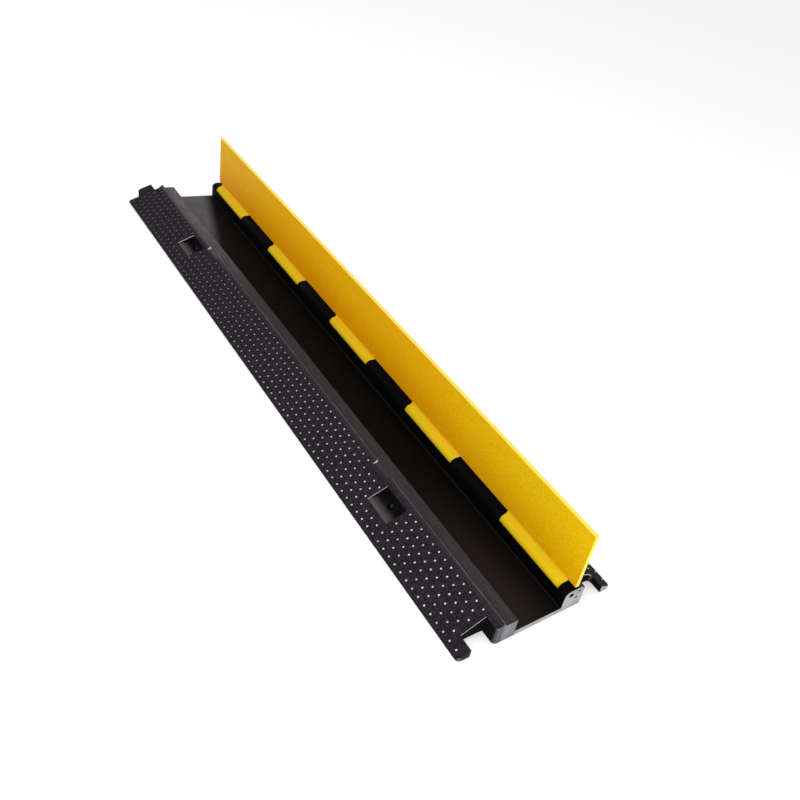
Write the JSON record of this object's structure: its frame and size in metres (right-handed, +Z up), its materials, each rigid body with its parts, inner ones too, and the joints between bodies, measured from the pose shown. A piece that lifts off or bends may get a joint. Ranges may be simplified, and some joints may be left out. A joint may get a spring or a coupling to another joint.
{
  "type": "cable protector ramp",
  "caption": "Drive-over cable ramp: a black rubber moulding with a wide cable channel, dimpled ramps on both sides, end connectors and a hinged yellow lid shown open.",
  "frame": {"origin": "middle of the base's flat underside, not counting the connector tabs", "axes": "+X along the ramp towards the end with the cut-outs, +Y across towards the hinge, +Z up"},
  "size_m": [1.02, 0.21, 0.1105],
  "materials": {
    "black_rubber": "matt moulded rubber with a slight sheen",
    "yellow_lid": "satin moulded PVC",
    "rod_steel": "drawn wire"
  },
  "bodies": {
    "base": {"base_moulding": "black_rubber", "hinge_rod": "rod_steel"},
    "lid": {"lid": "yellow_lid"}
  },
  "joints": [
    {"name": "lid_hinge", "type": "hinge", "parent": "base", "child": "lid", "pos_m": [0, 0.039, 0.0225], "axis": [1, 0, 0], "range_deg": [0, 90]}
  ]
}
